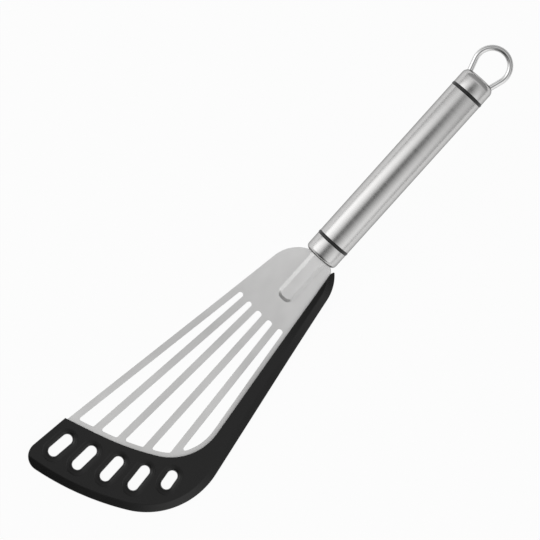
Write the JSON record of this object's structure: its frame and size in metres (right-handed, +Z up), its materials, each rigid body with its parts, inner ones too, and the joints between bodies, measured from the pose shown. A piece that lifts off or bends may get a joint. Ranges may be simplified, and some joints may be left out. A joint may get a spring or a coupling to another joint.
{
  "type": "fish spatula",
  "caption": "Slotted steel fish spatula with a slanted front, a black silicone edge round the front and one side, and a tubular handle with a hanging loop.",
  "frame": {"origin": "on the flat underside of the silicone edge, on the handle's centre line, between the third and fourth slots of the silicone", "axes": "+Z up from the blade, +X from the front of the blade along the tool to the hanging loop, +Y to the left of someone who holds the handle"},
  "size_m": [0.32, 0.0811, 0.0494],
  "materials": {
    "blade_steel": "fine satin, cloudy",
    "handle_steel": "brushed round the tube",
    "silicone": "matt moulded silicone",
    "band_rubber": "semi-matt ring",
    "loop_wire": "polished wire"
  },
  "bodies": {
    "root": {"blade": "blade_steel", "silicone_edge": "silicone", "ferrule": "handle_steel", "lower_band": "band_rubber", "handle_tube": "handle_steel", "upper_band": "band_rubber", "end_cap": "handle_steel", "hanging_loop": "loop_wire"}
  },
  "joints": []
}
